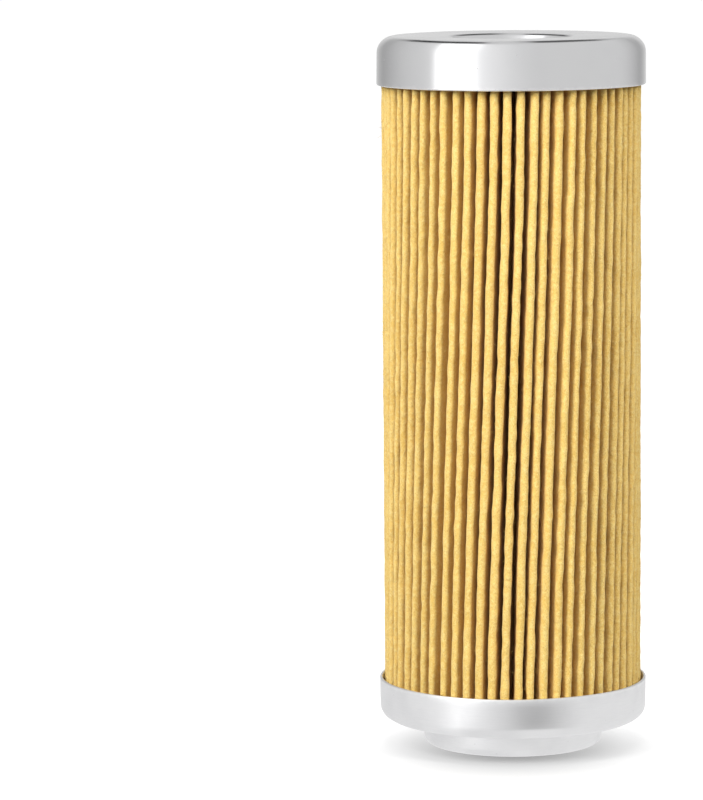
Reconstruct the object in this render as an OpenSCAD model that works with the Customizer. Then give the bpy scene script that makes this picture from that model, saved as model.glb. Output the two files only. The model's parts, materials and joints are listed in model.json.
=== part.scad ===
// Pleated paper element of a hydraulic filter.
// The element stands on the end face of its neck, with +Z along its axis and the closed end up.
// Oil passes inwards through the paper and the perforated core, and leaves through the neck.

/* [Element] */
// Height from the neck's end face to the closed end
element_h = 119.3; // [90:0.1:160]
// Thickness of the sheet that the end caps and the seal retainer are pressed from
sheet_t = 0.5; // [0.3:0.05:0.6]
// How far each cap's skirt leans out between its corner and its rim
skirt_flare = 0.15; // [0.05:0.05:0.4]

/* [Outlet] */
// Bore of the seal retainer, which the housing's spigot enters
bore_d = 22.4; // [21:0.1:24]
// Thickness of the O-ring's section
ring_section = 3.53; // [2.62:0.01:4]
// How far the O-ring stands in past the bore, so that the spigot spreads it
ring_proud = 0.25; // [0.1:0.05:0.4]
// Radial gap round the O-ring in the neck
ring_gap = 0.02; // [0.01:0.01:0.1]
// Height that the neck's pocket has to spare over the O-ring
ring_play = 0.87; // [0.3:0.01:1.5]
// Gap between the O-ring and the lip that it lies on
ring_seat_gap = 0.02; // [0.01:0.01:0.05]
// How far the neck's lip stands back from the bore
lip_relief = 0.9; // [0.5:0.1:1.5]

/* [Open end cap] */
// Height of the skirt, from the annular face to the rim
open_skirt_h = 7; // [6:0.1:12]
// Outside radius of the bend between the annular face and the skirt
open_corner_r = 2.1; // [1.5:0.1:2.5]
// Outside radius of the bend between the neck's wall and its lip
lip_bend_r = 1.3; // [0.8:0.1:1.6]
// Outside radius of the bend at the neck's root
neck_root_r = 0.8; // [0.4:0.1:1.2]

/* [Closed end cap] */
// Height of the skirt, from the rim to the closed end's face
closed_skirt_h = 8.1; // [7:0.1:14]
// Outside radius of the bend between the closed face and the skirt
closed_corner_r = 2.75; // [1.5:0.05:3]
// How far the recess's floor reaches in past the potting round it
recess_drop = 0.75; // [0.2:0.05:3]
// Radial gap between the recess and the core tube round it
recess_gap = 1.7; // [1:0.1:3]
// How far the recess narrows between its mouth and its floor
recess_draft = 0.4; // [0:0.1:0.8]
// Radius of the rounded edge at the recess's mouth
recess_edge_r = 1.2; // [0.8:0.1:1.5]
// Radius of the fillet round the recess's floor
recess_floor_r = 1; // [0.5:0.1:1.5]

/* [Seal retainer] */
// How far the retainer's flange reaches past the neck's inside wall, over the cap's floor
flange_overlap = 2.5; // [2:0.1:4]
// Outside radius of the bend between the flange and the sleeve
retainer_bend_r = 1.2; // [0.8:0.1:1.4]
// How far the sleeve's end stands above the potting
sleeve_rise = 0.1; // [0.1:0.1:2]

/* [Core tube] */
// Gap between the retainer's sleeve and the core tube round it
core_gap = 0.1; // [0.05:0.05:0.3]
// Wall thickness of the core tube
core_wall = 0.9; // [0.5:0.1:1.2]
// Diameter of the perforations
hole_d = 2.8; // [1.5:0.1:3.2]
// Number of rows of perforations round the tube
hole_rows = 14; // [8:2:16]
// Distance between the perforations of one row
hole_pitch = 6.2; // [6:0.1:10]
// Distance from each end of the tube to the nearest perforations' centres
hole_margin = 2.2; // [2:0.1:6]

/* [Pleated paper] */
// Number of pleats
pleats = 61; // [48:1:63]
// Depth of the pleats, from the inner folds to the outer ones, which sets the size of the end caps
pleat_depth = 9.03; // [8:0.01:12]
// Thickness of the paper
paper_t = 0.5; // [0.3:0.05:0.55]
// Inside radius of the folds at the outside
tip_fold_r = 0.25; // [0.1:0.05:0.3]
// Inside radius of the folds next to the core tube
root_fold_r = 0.1; // [0.05:0.05:0.15]
// Gap between the outer folds and the skirts
tip_gap = 0.02; // [0.01:0.01:0.2]
// Gap between the inner folds and the core tube
root_gap = 0.1; // [0.05:0.05:0.3]
// Direction of the pleat that holds the seam, from +X towards +Y
seam_angle = 93.5; // [0:0.5:359.5]
// How far the sheet's two cut ends reach past the outer folds' centres
seam_reach = 0.45; // [0.2:0.05:0.6]
// Depth of the adhesive between the two cut ends
seam_depth = 4.5; // [2:0.1:6]

/* [Potting] */
// How deep the ends of the paper are set in the potting
paper_embed = 2; // [1:0.1:2.5]

/* [Hidden] */
$fn = 96;
// Straight steps in each bend of a pressed sheet, in its rounded edge, and in an outer and an inner fold
bend_steps = 10;
edge_steps = 6;
tip_steps = 6;
root_steps = 4;
// How far a cutting shape runs past what it cuts
past = 1;
steel_colour = [0.80, 0.80, 0.81];
bright_colour = [0.88, 0.88, 0.89];
paper_colour = [0.86, 0.68, 0.36];
black_colour = [0.10, 0.10, 0.11];
adhesive_colour = [0.62, 0.48, 0.24];
potting_colour = [0.55, 0.53, 0.48];

// Radii, worked out from the bore to the cap
half_t = sheet_t / 2;
bore_r = bore_d / 2;
sleeve_r = bore_r + sheet_t;
core_in_r = sleeve_r + core_gap;
core_r = core_in_r + core_wall;
ring_in_r = bore_r - ring_proud;
neck_in_r = ring_in_r + ring_section + ring_gap;
neck_r = neck_in_r + sheet_t;
lip_r = bore_r + lip_relief;
flange_r = neck_in_r + flange_overlap;
recess_r = core_in_r - recess_gap - sheet_t;
root_r = core_r + root_gap;
tip_r = root_r + pleat_depth;
cap_r = tip_r + tip_gap + sheet_t + skirt_flare;

// Heights, worked out from the two ends towards the middle
neck_h = ring_section + ring_play;
floor_z = neck_h + sheet_t;
open_rim_z = neck_h + open_skirt_h;
closed_rim_z = element_h - closed_skirt_h;
paper_z = neck_h + open_corner_r;
paper_top_z = element_h - closed_corner_r;
lower_level_z = paper_z + paper_embed;
upper_level_z = paper_top_z - paper_embed;
sleeve_end_z = lower_level_z + sleeve_rise;
recess_depth = closed_corner_r + paper_embed - sheet_t + recess_drop;
ring_z = sheet_t + ring_seat_gap + ring_section / 2;

// Middle line of each pressed sheet, as rows of radius, height and bend radius
open_cap_line = [
    [lip_r + half_t, half_t, 0],
    [neck_r - half_t, half_t, lip_bend_r - half_t],
    [neck_r - half_t, neck_h + half_t, neck_root_r + half_t],
    [cap_r - skirt_flare - half_t, neck_h + half_t, open_corner_r - half_t],
    [cap_r - half_t, open_rim_z - half_t, 0]
];
closed_cap_line = [
    [cap_r - half_t, closed_rim_z + half_t, 0],
    [cap_r - skirt_flare - half_t, element_h - half_t, closed_corner_r - half_t],
    [recess_r + half_t, element_h - half_t, recess_edge_r - half_t],
    [recess_r - recess_draft + half_t, element_h - recess_depth - half_t, recess_floor_r + half_t],
    [0, element_h - recess_depth - half_t, 0]
];
retainer_line = [
    [flange_r - half_t, floor_z + half_t, 0],
    [bore_r + half_t, floor_z + half_t, retainer_bend_r - half_t],
    [bore_r + half_t, sleeve_end_z - half_t, 0]
];

// Pleats: circles that the middle of the paper follows round its outer and inner folds
half_pitch = 180 / pleats;
tip_mid_r = tip_fold_r + paper_t / 2;
root_mid_r = root_fold_r + paper_t / 2;
tip_centre_r = tip_r - tip_fold_r - paper_t;
root_centre_r = root_r + root_fold_r + paper_t;
root_centre = root_centre_r * [cos(half_pitch), sin(half_pitch)];
centres_apart = norm(root_centre - [tip_centre_r, 0]);
centres_slant = atan2(root_centre.y, tip_centre_r - root_centre.x);
// Angle from a pleat's own direction at which a leg leaves the outer fold, and that at which it meets the inner
tip_angle = 180 - centres_slant - acos((tip_mid_r + root_mid_r) / centres_apart);
root_angle = 180 - tip_angle + half_pitch;

// Levels of perforations, half a pitch apart, because every second row is shifted by that much
hole_levels = 1 + floor((paper_top_z - paper_z - 2 * hole_margin) / (hole_pitch / 2));

// A direction at an angle, and a vector turned by an angle
function direction(a) = [cos(a), sin(a)];
function turned(v, a) = [v.x * cos(a) - v.y * sin(a), v.x * sin(a) + v.y * cos(a)];
function flat(p) = [p.x, p.y];
function reversed(points) = [for (i = [len(points) - 1 : -1 : 0]) points[i]];

// Unit vector from one row of a line to the next
function heading(a, b) = (flat(b) - flat(a)) / norm(flat(b) - flat(a));

// Arc of points about a centre, from one angle to another
function arc(centre, r, from, to, steps) = [
    for (i = [0 : steps]) centre + r * direction(from + (to - from) * i / steps)
];

// One face of a sheet round one bend. The face lies shift to the left of the sheet's middle line.
function bend(before, corner, after, shift) =
    let (
        u = heading(before, corner),
        v = heading(corner, after),
        side = sign(u.x * v.y - u.y * v.x),
        turn = acos(u * v),
        centre = flat(corner) - u * corner.z * tan(turn / 2) + side * corner.z * turned(u, 90),
        start = -side * turned(u, 90) * (corner.z - side * shift)
    )
    [for (i = [0 : bend_steps]) centre + turned(start, side * turn * i / bend_steps)];

// One whole face of a sheet, shifted to the left of its middle line
function face(line, shift) =
    let (last = len(line) - 1)
    concat(
        [flat(line[0]) + shift * turned(heading(line[0], line[1]), 90)],
        [for (i = [1 : last - 1]) each bend(line[i - 1], line[i], line[i + 1], shift)],
        [flat(line[last]) + shift * turned(heading(line[last - 1], line[last]), 90)]
    );

// Half circle round a sheet's edge at the end of its line, from the left face to the right face
function rounded_edge(from, to) =
    let (u = heading(from, to))
    [for (i = [1 : edge_steps - 1]) flat(to) + turned(half_t * turned(u, 90), -180 * i / edge_steps)];

// Outline of a pressed sheet: its first edge is rounded, and its last one too if asked
function sheet_outline(line, round_last) =
    let (last = len(line) - 1)
    concat(
        face(line, half_t),
        round_last ? rounded_edge(line[last - 1], line[last]) : [],
        reversed(face(line, -half_t)),
        rounded_edge(line[1], line[0])
    );

// Section of the space inside each cap, between its sheet and the axis
module open_cap_inside() {
    polygon(concat(face(open_cap_line, half_t), [[0, open_rim_z], [0, sheet_t]]));
}

module closed_cap_inside() {
    polygon(concat(face(closed_cap_line, half_t), [[0, closed_rim_z]]));
}

// Everything from the seal retainer's outside to the axis
module outlet_side() {
    polygon(concat(
        reversed(rounded_edge(retainer_line[1], retainer_line[0])),
        face(retainer_line, -half_t),
        [[0, sleeve_end_z], [0, 0], [flange_r - half_t, 0], [flange_r - half_t, floor_z]]
    ));
}

// One face of the pleated paper, shift outwards of its middle at the outer folds, from cut end to cut end
function paper_face(shift) =
    let (
        end = tip_centre_r * [1, 0] + (tip_mid_r + shift) * direction(tip_angle),
        cut = end - seam_reach * direction(tip_angle + 90)
    )
    concat(
        [cut],
        [for (i = [0 : pleats - 1]) each concat(
            inner_fold((2 * i + 1) * half_pitch, shift),
            i < pleats - 1 ? outer_fold((2 * i + 2) * half_pitch, shift) : []
        )],
        [[cut.x, -cut.y]]
    );

// Points round one fold at the outside, and round one next to the core
function outer_fold(at, shift) =
    arc(tip_centre_r * direction(at), tip_mid_r + shift, at - tip_angle, at + tip_angle, tip_steps);
function inner_fold(at, shift) =
    arc(
        root_centre_r * direction(at), root_mid_r - shift,
        at - root_angle, at + root_angle - 360, root_steps
    );

// Section of the pleated paper, with the pleat that holds the seam towards +X
module paper_section() {
    polygon(concat(paper_face(paper_t / 2), reversed(paper_face(-paper_t / 2))));
}

// Point on the inner face of a cut end's leg, at a distance inwards from the outer fold's centre
function seam_point(inwards) =
    tip_centre_r * [1, 0] + tip_fold_r * direction(tip_angle) + inwards * direction(tip_angle + 90);
seam_outer = seam_point(-seam_reach);
seam_inner = seam_point(seam_depth - seam_reach);

// Section of the adhesive between the sheet's two cut ends
module seam_section() {
    polygon([seam_outer, seam_inner, [seam_inner.x, -seam_inner.y], [seam_outer.x, -seam_outer.y]]);
}

// Section of the paper and its adhesive as one closed ring, for the print that they leave in the potting
module glued_section() {
    inner = paper_face(-paper_t / 2);
    folds = [for (i = [1 : len(inner) - 2]) inner[i]];
    difference() {
        polygon(concat(paper_face(paper_t / 2), [[seam_outer.x, -seam_outer.y], seam_outer]));
        polygon(concat([seam_inner], folds, [[seam_inner.x, -seam_inner.y]]));
    }
}

// Any section that stands along the paper, turned to the seam
module along_paper() {
    translate([0, 0, paper_z])
        rotate(seam_angle)
            linear_extrude(paper_top_z - paper_z)
                children();
}

module open_end_cap() {
    color(steel_colour)
        rotate_extrude()
            polygon(sheet_outline(open_cap_line, true));
}

module closed_end_cap() {
    color(bright_colour)
        rotate_extrude()
            polygon(sheet_outline(closed_cap_line, false));
}

module seal_retainer() {
    color(bright_colour)
        rotate_extrude()
            polygon(sheet_outline(retainer_line, true));
}

module o_ring() {
    color(black_colour)
        translate([0, 0, ring_z])
            rotate_extrude()
                translate([ring_in_r + ring_section / 2, 0])
                    circle(d = ring_section);
}

module pleated_media() {
    color(paper_colour)
        along_paper()
            paper_section();
}

module seam_adhesive() {
    color(adhesive_colour)
        along_paper()
            seam_section();
}

module core_tube() {
    color(black_colour)
        difference() {
            translate([0, 0, paper_z])
                cylinder(r = core_r, h = paper_top_z - paper_z);
            translate([0, 0, paper_z - past])
                cylinder(r = core_in_r, h = paper_top_z - paper_z + 2 * past);
            perforations();
        }
}

// Radial drills for the core tube. Odd levels lie half way between the rows of the even ones.
module perforations() {
    for (level = [0 : hole_levels - 1])
        for (row = [0 : 2 : hole_rows - 1])
            rotate((row + level % 2) * 360 / hole_rows)
                translate([core_in_r - past, 0, paper_z + hole_margin + level * hole_pitch / 2])
                    rotate([0, 90, 0])
                        cylinder(d = hole_d, h = core_wall + 2 * past);
}

// Potting in the open cap, between its skirt and the seal retainer
module lower_potting() {
    color(potting_colour)
        difference() {
            rotate_extrude()
                difference() {
                    intersection() {
                        open_cap_inside();
                        square([cap_r, lower_level_z]);
                    }
                    outlet_side();
                    translate([0, paper_z])
                        square([core_r, paper_embed + past]);
                }
            along_paper()
                glued_section();
        }
}

// Potting in the closed cap, between its skirt and the recess
module upper_potting() {
    color(potting_colour)
        difference() {
            rotate_extrude()
                difference() {
                    intersection() {
                        closed_cap_inside();
                        translate([0, upper_level_z])
                            square([cap_r, element_h]);
                    }
                    translate([core_in_r, upper_level_z - past])
                        square([core_wall, paper_embed + past]);
                }
            along_paper()
                glued_section();
        }
}

open_end_cap();
closed_end_cap();
pleated_media();
seam_adhesive();
core_tube();
o_ring();
seal_retainer();
lower_potting();
upper_potting();
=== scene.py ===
# %% [markdown]
# # A pleated filter element, dressed for its photograph
#
# The object is the replaceable element of a hydraulic filter: a sheet of filter paper folded into
# 61 pleats round a perforated tube, with a pressed metal cap glued on each end. The imported model
# already holds every piece at its true size. This lesson gives each piece the surface that a camera
# sees: rolled folds that lean and wander, sheet metal with drawn marks, punched holes, soft rubber.
#
# The first cell loads that model as a fixed frame. Nothing in it is moved. Each new piece is built
# in metres in the same frame and rides on the frame's only body.

# %% Load the frame
import json
import math

import bmesh
import bpy
import numpy as np
from mathutils import Matrix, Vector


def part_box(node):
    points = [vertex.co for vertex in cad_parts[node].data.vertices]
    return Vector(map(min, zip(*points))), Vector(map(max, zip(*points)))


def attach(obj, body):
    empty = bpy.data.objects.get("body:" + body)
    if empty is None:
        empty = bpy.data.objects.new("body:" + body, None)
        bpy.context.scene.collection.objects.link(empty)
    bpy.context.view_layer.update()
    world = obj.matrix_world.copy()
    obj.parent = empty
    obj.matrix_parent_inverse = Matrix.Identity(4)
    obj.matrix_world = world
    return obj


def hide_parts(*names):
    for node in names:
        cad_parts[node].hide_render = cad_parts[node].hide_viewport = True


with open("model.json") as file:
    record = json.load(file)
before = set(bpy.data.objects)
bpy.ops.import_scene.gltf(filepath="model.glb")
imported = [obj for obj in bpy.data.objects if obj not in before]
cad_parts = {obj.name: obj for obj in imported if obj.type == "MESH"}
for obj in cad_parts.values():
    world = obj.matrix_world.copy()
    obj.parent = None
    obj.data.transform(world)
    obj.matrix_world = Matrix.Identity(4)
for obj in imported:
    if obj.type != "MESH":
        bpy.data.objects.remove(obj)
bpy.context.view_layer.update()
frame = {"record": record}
BODY = "root"
MM = 0.001
rng = np.random.default_rng(61)

# %% [markdown]
# ## The camera
#
# The photograph was taken with a long lens from a little above. The object stands right of the
# picture's middle, so the camera is turned a little to the left of it, and tips down by about seven
# degrees. A lens shift could do the same, but it would follow the camera into every other view,
# so the camera is really turned. Its three unit vectors are written out from the two angles,
# which is easier to check than a list of Euler angles.

# %% Camera at the photograph's place
PICTURE_LONG_SIDE = 800
FOCAL_PX = 4463.0
CAMERA_DISTANCE = 744.3 * MM
CAMERA_HEIGHT = 152.4 * MM
YAW, PITCH, ROLL = (math.radians(a) for a in (2.076, 7.206, -0.408))
SENSOR = 36.0


def camera_axes(yaw, pitch, roll):
    """Right, up and forward of a camera: forward is turned left by yaw and down by pitch,
    then right and up are turned about it by roll."""
    forward = np.array([-math.sin(yaw) * math.cos(pitch), math.cos(yaw) * math.cos(pitch),
                        -math.sin(pitch)])
    level = np.array([math.cos(yaw), math.sin(yaw), 0.0])
    upright = np.cross(level, forward)
    right = math.cos(roll) * level + math.sin(roll) * upright
    return right, np.cross(right, forward), forward


def make_camera():
    """A camera whose matrix has those axes as its columns, and minus forward as its Z."""
    data = bpy.data.cameras.new("photo_camera")
    data.sensor_width = SENSOR
    data.lens = FOCAL_PX * SENSOR / PICTURE_LONG_SIDE
    camera = bpy.data.objects.new("photo_camera", data)
    bpy.context.scene.collection.objects.link(camera)
    right, up, forward = camera_axes(YAW, PITCH, ROLL)
    matrix = np.eye(4)
    matrix[:3, 0], matrix[:3, 1], matrix[:3, 2] = right, up, -forward
    matrix[:3, 3] = 0.0, -CAMERA_DISTANCE, CAMERA_HEIGHT
    camera.matrix_world = Matrix(matrix.tolist())
    bpy.context.scene.camera = camera
    return camera


camera = make_camera()
bpy.context.scene.view_settings.view_transform = "Standard"
print("lens in mm:", round(camera.data.lens, 1))

# %% [markdown]
# ## From arrays to a mesh
#
# Every surface below is a grid: one parameter runs round or along the piece, the other across it.
# The whole grid is one numpy array, so a shape is a formula and not a loop over vertices.
# `foreach_set` copies an array into a mesh in one call. Where a grid shrinks to a pole or a seam
# meets itself, equal points are merged, and the normals are then turned outwards.

# %% Grid helpers
MERGE = 1e-8


def grid_quads(count_u, count_v, wrap_u=False, wrap_v=False):
    """Corner numbers of the cells of a grid whose point (u, v) has the number u * count_v + v."""
    u = np.arange(count_u if wrap_u else count_u - 1)[:, None]
    v = np.arange(count_v if wrap_v else count_v - 1)[None, :]
    next_u, next_v = (u + 1) % count_u, (v + 1) % count_v
    corners = [u * count_v + v, next_u * count_v + v, next_u * count_v + next_v, u * count_v + next_v]
    return np.stack(np.broadcast_arrays(*corners), -1).reshape(-1, 4)


def mesh_object(name, points, quads, merge=MERGE, marks=None):
    """A smooth-shaded object from points in metres and quads, closed and with outward normals.
    marks gives each point numbers that its material can read as attributes, such as "edge"."""
    points = np.ascontiguousarray(points, dtype=np.float32).reshape(-1, 3)
    quads = np.ascontiguousarray(quads, dtype=np.int32)
    data = bpy.data.meshes.new(name)
    data.vertices.add(len(points))
    data.vertices.foreach_set("co", points.ravel())
    data.loops.add(quads.size)
    data.loops.foreach_set("vertex_index", quads.ravel())
    data.polygons.add(len(quads))
    data.polygons.foreach_set("loop_start", np.arange(0, quads.size, 4, dtype=np.int32))
    data.update(calc_edges=True)
    for label, values in (marks or {}).items():
        layer = data.attributes.new(label, "FLOAT", "POINT")
        layer.data.foreach_set("value", np.ascontiguousarray(values, dtype=np.float32).ravel())
    shape = bmesh.new()
    shape.from_mesh(data)
    bmesh.ops.remove_doubles(shape, verts=shape.verts, dist=merge)
    bmesh.ops.dissolve_degenerate(shape, edges=shape.edges, dist=merge)
    bmesh.ops.recalc_face_normals(shape, faces=shape.faces)
    shape.to_mesh(data)
    shape.free()
    data.polygons.foreach_set("use_smooth", np.ones(len(data.polygons), dtype=bool))
    made = bpy.data.objects.new(name, data)
    bpy.context.scene.collection.objects.link(made)
    triangles = sum(len(p.vertices) - 2 for p in data.polygons)
    print(f"{name}: {triangles} triangles")
    return made


# %% [markdown]
# ## Pressed sheet metal
#
# Both end caps and the seal retainer are pressed from flat sheet, so each has one thickness
# everywhere and every corner is a bend. The section of such a piece is a line with a radius at each
# corner, and its two faces are that line moved half a sheet to the left and to the right: on the
# inside of a turn the radius shrinks, on the outside it grows. Turning the section about Z
# gives the piece. A Bevel modifier on a sharp shape would give both faces the same
# radius, which no press does.

# %% Section of a bent sheet
SHEET = 0.5
BEND_STEPS = 14
EDGE_STEPS = 8


def unit(vector):
    """A vector of length one along the last axis."""
    return vector / np.linalg.norm(vector, axis=-1, keepdims=True)


def turned(vector, angle):
    """A plane vector turned anticlockwise: (x cos a - y sin a, x sin a + y cos a)."""
    x, y = vector[..., 0], vector[..., 1]
    c, s = np.cos(angle), np.sin(angle)
    return np.stack([x * c - y * s, x * s + y * c], -1)


def bend(before, corner, after, radius, shift):
    """One face round one bend: an arc about the centre of the middle line's own arc, which is
    tangent to both legs. The face lies shift to the left, so its radius is that much smaller
    where the line turns left and larger where it turns right."""
    u, v = unit(corner - before), unit(after - corner)
    side = np.sign(u[0] * v[1] - u[1] * v[0])
    turn = math.acos(float(u @ v))
    normal = turned(u, math.pi / 2)
    centre = corner - u * radius * math.tan(turn / 2) + side * radius * normal
    angles = side * turn * np.linspace(0, 1, BEND_STEPS + 1)
    return centre + turned(-side * normal * (radius - side * shift), angles)


def sheet_face(line, shift):
    """A whole face of the sheet: its two ends, moved sideways, with a bend at each row between."""
    line = np.asarray(line, dtype=float)
    flat, radii = line[:, :2], line[:, 2]
    first = flat[0] + shift * turned(unit(flat[1] - flat[0]), math.pi / 2)
    last = flat[-1] + shift * turned(unit(flat[-1] - flat[-2]), math.pi / 2)
    between = range(1, len(flat) - 1)
    bends = [bend(flat[i - 1], flat[i], flat[i + 1], radii[i], shift) for i in between]
    return np.vstack([first, *bends, last])


def round_edge(before, end):
    """Half a circle round the sheet's edge, from its left face to its right face."""
    normal = turned(unit(end - before), math.pi / 2) * SHEET / 2
    return end + turned(normal, -math.pi * np.linspace(0, 1, EDGE_STEPS + 1)[1:-1])


def evened(points, longest):
    """The same outline with extra points, so that no step is longer than that."""
    steps = [points[:1]]
    for a, b in zip(points[:-1], points[1:]):
        count = max(1, int(math.ceil(np.linalg.norm(b - a) / longest)))
        steps.append(a + (b - a) * np.linspace(0, 1, count + 1)[1:, None])
    return np.vstack(steps)


def sheet_section(line, last_edge_round):
    """Both faces of the sheet in one outline, round at its first edge and, if asked, at its last."""
    line = np.asarray(line, dtype=float)
    flat = line[:, :2]
    left, right = sheet_face(line, SHEET / 2), sheet_face(line, -SHEET / 2)[::-1]
    end = round_edge(flat[-2], flat[-1]) if last_edge_round else np.empty((0, 2))
    return left, end, right, round_edge(flat[1], flat[0])


# %% [markdown]
# ## Turning a section, with the small faults of a press
#
# A perfect surface of revolution looks drawn, not made. A real cap has bends that are a few
# hundredths of a millimetre tighter here than there, and a skirt that isn't quite round. So the
# turned surface takes a second function that moves each point a little, by a sum of a few waves
# round the axis. Because only whole numbers of waves fit a turn, the seam closes by itself.

# %% Lathe
AROUND = 320
FEWER_AROUND = 200
PRESS_FAULT = 0.05


def near(value, middle, width):
    """A smooth bell that is 1 at the middle and fades to nothing about two widths away."""
    return np.exp(-(((value - middle) / width) ** 2))


def bell(r, z, place, reach):
    """A bell over a section: 1 at the place (r, z), fading over the reach along r and along z."""
    return near(r, place[0], reach[0]) * near(z, place[1], reach[1])


def about_axis(angle, r, z):
    """Points at an angle round Z, a distance from it and a height: (r cos a, r sin a, z)."""
    return np.stack(np.broadcast_arrays(r * np.cos(angle), r * np.sin(angle), z), -1)


def lathe(name, outline, closed, fault=None, edges=(), around=AROUND):
    """Turn an outline about Z: point (i, j) is (r_j cos a_i, r_j sin a_i, z_j) in equal steps of a.
    fault(angle, r, z) gives small moves along r and z, in millimetres, for the whole grid.
    edges lists (r, z, width) of the corners that handling rubs, as bells in the edge mask."""
    angle = np.linspace(0, 2 * math.pi, around, endpoint=False)[:, None]
    r, z = outline[None, :, 0] + 0 * angle, outline[None, :, 1] + 0 * angle
    mask = 0 * r
    for edge_r, edge_z, width in edges:
        mask = mask + near(np.hypot(r - edge_r, z - edge_z), 0, width)
    if fault is not None:
        move_r, move_z = fault(angle, r, z)
        r, z = r + move_r, z + move_z
    quads = grid_quads(around, len(outline), True, closed)
    return mesh_object(name, about_axis(angle, r, z) * MM, quads, marks={"edge": mask})


def waves(angle, counts, size):
    """Waves round the axis, each with its own whole count, phase and share, at most size together."""
    phases = rng.uniform(0, 2 * math.pi, len(counts))
    shares = rng.uniform(0.4, 1.0, len(counts))
    total = sum(s * np.cos(n * angle + p) for n, p, s in zip(counts, phases, shares))
    return size * total / shares.sum()


def inward(angle, counts):
    """Waves moved down by their own size, so that nothing stands proud of the drawn shape."""
    return waves(angle, counts, PRESS_FAULT) - PRESS_FAULT


# %% [markdown]
# ## The two end caps and the seal retainer
#
# The closed cap is drawn from bright sheet: a plain skirt, a soft corner, and a round recess that
# the tool pushes in to stiffen the end. The open cap is duller and carries the neck, whose lip is
# turned in to keep the O-ring. The retainer is a small ring with a sleeve, pressed against the
# cap's floor from inside. Their outer sizes come from the frame, and only the bend radii are typed.

# %% Sizes that the frame gives
def millimetres(node):
    """Lowest and highest corner of a CAD node in millimetres."""
    return tuple(np.array(corner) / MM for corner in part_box(node))


_, open_high = millimetres("open_end_cap")
closed_low, closed_high = millimetres("closed_end_cap")
retainer_low, retainer_high = millimetres("seal_retainer")
core_low, core_high = millimetres("core_tube")
ring_low, ring_high = millimetres("o_ring")
paper_low, paper_high = millimetres("pleated_media")
_, lower_high = millimetres("lower_potting")
upper_low, upper_high = millimetres("upper_potting")
mount = {m["name"]: m for m in frame["record"]["mounts"]}
bore_r = mount["outlet_bore"]["dims"]["r_mm"]
neck_r = mount["neck_outside"]["dims"]["r_mm"]
cap_r = closed_high[0]
HALF = SHEET / 2
print("bore, neck and cap radius in mm:", bore_r, neck_r, round(float(cap_r), 2))

# %% Closed end cap
SKIRT_FLARE = 0.15
CLOSED_CORNER = 2.75
CORE_WALL = 0.9
RECESS_PLAY = 1.7
RECESS_DRAFT = 0.4
RECESS_DEPTH = 5.0
RECESS_EDGE = 1.8
RECESS_FLOOR = 1.0
FACE_PULL = 0.06
OUTLINE_STEP = 1.2
RIM_RUB = 0.3
core_in_r = core_high[0] - CORE_WALL
recess_r = core_in_r - RECESS_PLAY - SHEET
top_z = closed_high[2]


def closed_cap_fault(angle, r, z):
    """The corner's bend wanders by a few hundredths, the skirt is slightly oval, and the face
    is pulled down a little round the recess."""
    corner = bell(r, z, (cap_r - 1.0, top_z - 1.0), (1.2, 1.2))
    face = bell(r, z, (recess_r + 2.5, top_z), (2.2, 1.0))
    rim = bell(r, z, (cap_r, closed_low[2]), (1.0, 4.0))
    move_z = corner * inward(angle, [5, 8, 13, 21, 34]) - FACE_PULL * face
    return rim * inward(angle, [2, 3, 7]), move_z


def make_closed_cap():
    """The cap's middle line runs up the skirt, in over the face and down the recess to the axis,
    where both faces end in a pole."""
    line = [
        [cap_r - HALF, closed_low[2] + HALF, 0],
        [cap_r - SKIRT_FLARE - HALF, top_z - HALF, CLOSED_CORNER - HALF],
        [recess_r + HALF, top_z - HALF, RECESS_EDGE - HALF],
        [recess_r - RECESS_DRAFT + HALF, top_z - RECESS_DEPTH - HALF, RECESS_FLOOR + HALF],
        [0, top_z - RECESS_DEPTH - HALF, 0],
    ]
    left, _, right, edge = sheet_section(line, False)
    outline = evened(np.vstack([right, edge, left]), OUTLINE_STEP)
    outline[[0, -1], 0] = 0
    rubbed = [(cap_r, closed_low[2] + HALF, RIM_RUB)]
    return lathe("closed_cap_bright", outline, False, closed_cap_fault, rubbed)


closed_cap = make_closed_cap()

# %% Open end cap
LIP_SET_BACK = 0.9
LIP_BEND = 1.3
NECK_ROOT = 0.8
OPEN_CORNER = 2.1
CORNER_RISE = 0.06
neck_h = retainer_low[2] - SHEET


def open_cap_fault(angle, r, z):
    """The skirt's rim and the corner under it wander a little, as sheet does that was drawn cold."""
    rim = bell(r, z, (cap_r, open_high[2]), (1.0, 2.0))
    corner = bell(r, z, (cap_r - 0.8, neck_h + 0.8), (1.2, 1.2))
    move_z = corner * (waves(angle, [4, 9, 14, 23], CORNER_RISE) + CORNER_RISE)
    move_z = move_z + rim * inward(angle, [2, 5])
    return rim * inward(angle, [2, 3, 5]), move_z


def make_open_cap():
    """The middle line runs out along the lip, up the neck, out along the annular face and up the
    skirt."""
    line = [
        [bore_r + LIP_SET_BACK + HALF, HALF, 0],
        [neck_r - HALF, HALF, LIP_BEND - HALF],
        [neck_r - HALF, neck_h + HALF, NECK_ROOT + HALF],
        [cap_r - SKIRT_FLARE - HALF, neck_h + HALF, OPEN_CORNER - HALF],
        [cap_r - HALF, open_high[2] - HALF, 0],
    ]
    outline = evened(np.vstack(sheet_section(line, True)), OUTLINE_STEP)
    rubbed = [(cap_r, open_high[2] - HALF, RIM_RUB), (neck_r - 0.6, 0.1, 0.4)]
    return lathe("open_cap_satin", outline, True, open_cap_fault, rubbed)


open_cap = make_open_cap()

# %% Seal retainer
RETAINER_BEND = 1.2
RETAINER_STEP = 1.0


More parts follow.
